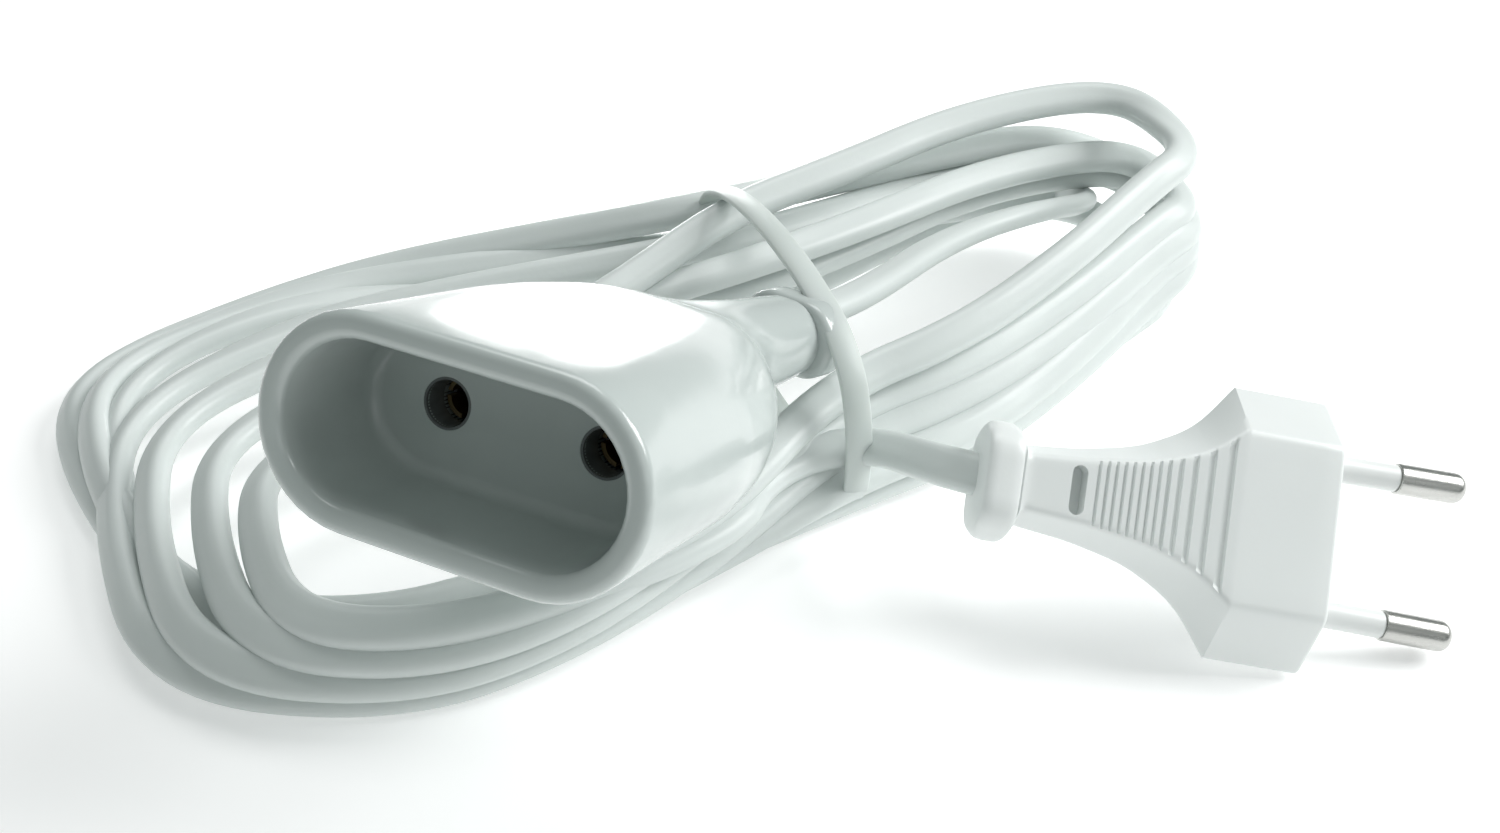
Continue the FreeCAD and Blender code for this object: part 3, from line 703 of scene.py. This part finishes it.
# ---------------------------------------------------------------- materials
def moulded(name, colour, shade, roughness, grain, gloss=0.0, glow=0.0, bump=0.05):
    """Moulded plastic: mottled colour, uneven gloss and a fine surface grain."""
    material = bpy.data.materials.new(name)
    material.use_nodes = True
    nodes, links = material.node_tree.nodes, material.node_tree.links
    shader = nodes["Principled BSDF"]
    shader.inputs["Coat Weight"].default_value = gloss
    shader.inputs["Coat Roughness"].default_value = 0.08
    shader.inputs["Subsurface Weight"].default_value = glow
    shader.inputs["Subsurface Radius"].default_value = (0.004, 0.004, 0.0035)
    shader.inputs["Subsurface Scale"].default_value = 0.5
    place = nodes.new("ShaderNodeTexCoord")
    cloud = nodes.new("ShaderNodeTexNoise")
    cloud.inputs["Scale"].default_value = 60.0
    cloud.inputs["Detail"].default_value = 4.0
    links.new(place.outputs["Object"], cloud.inputs["Vector"])
    tint = nodes.new("ShaderNodeValToRGB")
    tint.color_ramp.elements[0].position = 0.3
    tint.color_ramp.elements[0].color = (*shade, 1)
    tint.color_ramp.elements[1].position = 0.7
    tint.color_ramp.elements[1].color = (*colour, 1)
    links.new(cloud.outputs["Fac"], tint.inputs["Fac"])
    links.new(tint.outputs["Color"], shader.inputs["Base Color"])
    wear = nodes.new("ShaderNodeMapRange")
    wear.inputs["To Min"].default_value = roughness[0]
    wear.inputs["To Max"].default_value = roughness[1]
    smear = nodes.new("ShaderNodeTexNoise")
    smear.inputs["Scale"].default_value = 220.0
    smear.inputs["Detail"].default_value = 3.0
    links.new(place.outputs["Object"], smear.inputs["Vector"])
    links.new(smear.outputs["Fac"], wear.inputs["Value"])
    links.new(wear.outputs["Result"], shader.inputs["Roughness"])
    fine = nodes.new("ShaderNodeTexNoise")
    fine.inputs["Scale"].default_value = grain
    fine.inputs["Detail"].default_value = 2.0
    links.new(place.outputs["Object"], fine.inputs["Vector"])
    relief = nodes.new("ShaderNodeBump")
    relief.inputs["Strength"].default_value = bump
    relief.inputs["Distance"].default_value = 0.0002
    links.new(fine.outputs["Fac"], relief.inputs["Height"])
    links.new(relief.outputs["Normal"], shader.inputs["Normal"])
    return material


def metal(name, colour, shade, roughness, stretch):
    """Drawn metal: fine lengthwise scratches, duller patches and a little tarnish."""
    material = moulded(name, colour, shade, roughness, 2500.0, bump=0.08)
    nodes, links = material.node_tree.nodes, material.node_tree.links
    shader = nodes["Principled BSDF"]
    shader.inputs["Metallic"].default_value = 1.0
    squeeze = nodes.new("ShaderNodeMapping")
    squeeze.inputs["Scale"].default_value = stretch
    place = next(n for n in nodes if n.type == "TEX_COORD")
    links.new(place.outputs["Object"], squeeze.inputs["Vector"])
    for node in nodes:
        if node.type == "TEX_NOISE":
            links.new(squeeze.outputs["Vector"], node.inputs["Vector"])
    return material


MATERIALS = {
    # The socket's white plastic is given a darker grey than the plug's: painted shade for the shade
    # that lies on it.
    "socket_mould": moulded("socket_white_with_painted_shade", (0.53, 0.58, 0.565), (0.50, 0.55, 0.535),
                            (0.16, 0.30), 900.0, gloss=0.5, glow=0.05),
    "plug_mould": moulded("plug_white", (0.85, 0.88, 0.87), (0.82, 0.85, 0.84),
                          (0.30, 0.44), 1400.0, gloss=0.1, glow=0.05),
    # Dark grey is painted shade: the carrier's face is white, and the grey stands for the shade seen
    # down the pin holes.
    "carrier": moulded("carrier_painted_shade", (0.16, 0.17, 0.17), (0.13, 0.14, 0.14),
                       (0.40, 0.55), 1400.0),
    "cord_jacket": moulded("cord_white", (0.70, 0.745, 0.73), (0.66, 0.705, 0.69),
                           (0.34, 0.50), 1100.0, gloss=0.08, glow=0.08, bump=0.08),
    "tie": moulded("tie_white", (0.62, 0.67, 0.65), (0.58, 0.63, 0.61),
                   (0.38, 0.52), 1500.0, glow=0.3),
    "pin_metal": metal("pin_nickel", (0.62, 0.62, 0.60), (0.48, 0.48, 0.46),
                       (0.18, 0.36), (1.0, 6.0, 6.0)),
    "pin_sleeve": moulded("sleeve_white", (0.84, 0.86, 0.85), (0.82, 0.84, 0.83),
                          (0.28, 0.40), 1600.0),
    "contact_brass": metal("contact_brass", (0.42, 0.33, 0.17), (0.30, 0.22, 0.10),
                           (0.35, 0.55), (4.0, 4.0, 1.0)),
    "spring_steel": metal("spring_steel", (0.45, 0.46, 0.48), (0.33, 0.34, 0.36),
                          (0.25, 0.42), (1.0, 1.0, 5.0)),
    "brown_core": moulded("core_brown", (0.14, 0.06, 0.03), (0.10, 0.045, 0.02),
                          (0.35, 0.50), 1500.0),
    "blue_core": moulded("core_blue", (0.03, 0.12, 0.40), (0.02, 0.09, 0.30),
                         (0.35, 0.50), 1500.0),
    "copper": metal("strand_copper", (0.72, 0.36, 0.22), (0.55, 0.25, 0.14),
                    (0.22, 0.38), (6.0, 6.0, 1.0)),
}
NODE_SLOTS = {
    "contact_carrier": "carrier", "pin_bridge": "carrier",
    "plug_pin": "pin_metal", "pin_sleeve": "pin_sleeve",
    "socket_contact": "contact_brass", "contact_spring": "spring_steel",
    "socket_brown_core": "brown_core", "plug_brown_core": "brown_core",
    "socket_blue_core": "blue_core", "plug_blue_core": "blue_core",
    "socket_brown_strands": "copper", "plug_brown_strands": "copper",
    "socket_blue_strands": "copper", "plug_blue_strands": "copper",
    "cord": "cord_jacket", "tie_band": "tie", "socket_shell": "socket_mould",
    "plug_body": "plug_mould",
}


def dress(piece, slot):
    """Gives the piece its slot's material and no other."""
    piece.data.materials.clear()
    piece.data.materials.append(MATERIALS[slot])


for name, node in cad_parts.items():
    for start, slot in NODE_SLOTS.items():
        if name.startswith(start):
            dress(node, slot)

# ---------------------------------------------------------------- what stands for what
for piece, slot, nodes in (
        (cord, "cord_jacket", ("cord_socket_lead", "cord_hank", "cord_plug_lead")),
        (socket, "socket_mould", ("socket_shell",)), (plug, "plug_mould", ("plug_body",)),
        (tie, "tie", ("tie_band",)),
        (tips["left"], "pin_metal", ("plug_pin_left",)),
        (tips["right"], "pin_metal", ("plug_pin_right",)),
        (jackets["left"], "pin_sleeve", ("pin_sleeve_left",)),
        (jackets["right"], "pin_sleeve", ("pin_sleeve_right",))):
    dress(piece, slot)
    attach(piece, "root")
    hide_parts(*nodes)


# ---------------------------------------------------------------- studio
FLOOR_REACH = 1.6
FLOOR_DROP = 0.0002
FLOOR_COLOUR = (0.96, 0.96, 0.96, 1)
FLOOR_ROUGHNESS = 0.9
FLOOR_GLOW = 0.30
WORLD_COLOUR = (0.88, 0.97, 0.95, 1)
WORLD_STRENGTH = 0.28
# name, place, what it faces, width and height, watts
SOFTBOXES = (
    ("key_right", (0.75, 0.10, 0.60), (0.03, 0.0, 0.0), (0.5, 0.5), 7.2),
    ("left_pane", (-0.0655, 0.16, 0.025), (-0.0655, 0.0, 0.045), (0.018, 0.030), 0.020),
    ("right_pane", (-0.034, 0.16, 0.025), (-0.034, 0.0, 0.045), (0.034, 0.030), 0.036),
    ("top_back", (0.0, 0.35, 0.75), (0.0, 0.0, 0.0), (0.5, 0.4), 2.0),
    ("fill_front", (0.35, -0.7, 0.45), (0.0, 0.0, 0.0), (0.6, 0.4), 0.3),
)


def add_floor():
    """Plain pale floor just below the object."""
    height = min(cad_box[0][2], 0.0) - FLOOR_DROP
    corners = [(x * FLOOR_REACH, y * FLOOR_REACH, height)
               for x, y in ((-1, -1), (1, -1), (1, 1), (-1, 1))]
    floor = add_mesh("floor", corners, [(0, 1, 2, 3)])
    material = bpy.data.materials.new("floor_pale")
    material.use_nodes = True
    shader = material.node_tree.nodes["Principled BSDF"]
    shader.inputs["Base Color"].default_value = FLOOR_COLOUR
    shader.inputs["Roughness"].default_value = FLOOR_ROUGHNESS
    shader.inputs["Emission Color"].default_value = (1.0, 1.0, 1.0, 1)
    shader.inputs["Emission Strength"].default_value = FLOOR_GLOW
    floor.data.materials.append(material)


def add_softbox(name, location, target, size, power):
    """Rectangular area light that faces its target and isn't itself in view."""
    data = bpy.data.lights.new(name, "AREA")
    data.shape = "RECTANGLE"
    data.size, data.size_y = size
    data.energy = power
    light = bpy.data.objects.new(name, data)
    light.location = location
    aim = Vector(target) - Vector(location)
    light.rotation_euler = aim.to_track_quat("-Z", "Y").to_euler()
    light.visible_camera = False
    bpy.context.scene.collection.objects.link(light)


add_floor()
for softbox in SOFTBOXES:
    add_softbox(*softbox)

world = bpy.data.worlds.new("studio")
world.use_nodes = True
world.node_tree.nodes["Background"].inputs["Color"].default_value = WORLD_COLOUR
world.node_tree.nodes["Background"].inputs["Strength"].default_value = WORLD_STRENGTH
bpy.context.scene.world = world
bpy.context.scene.view_settings.view_transform = "Standard"
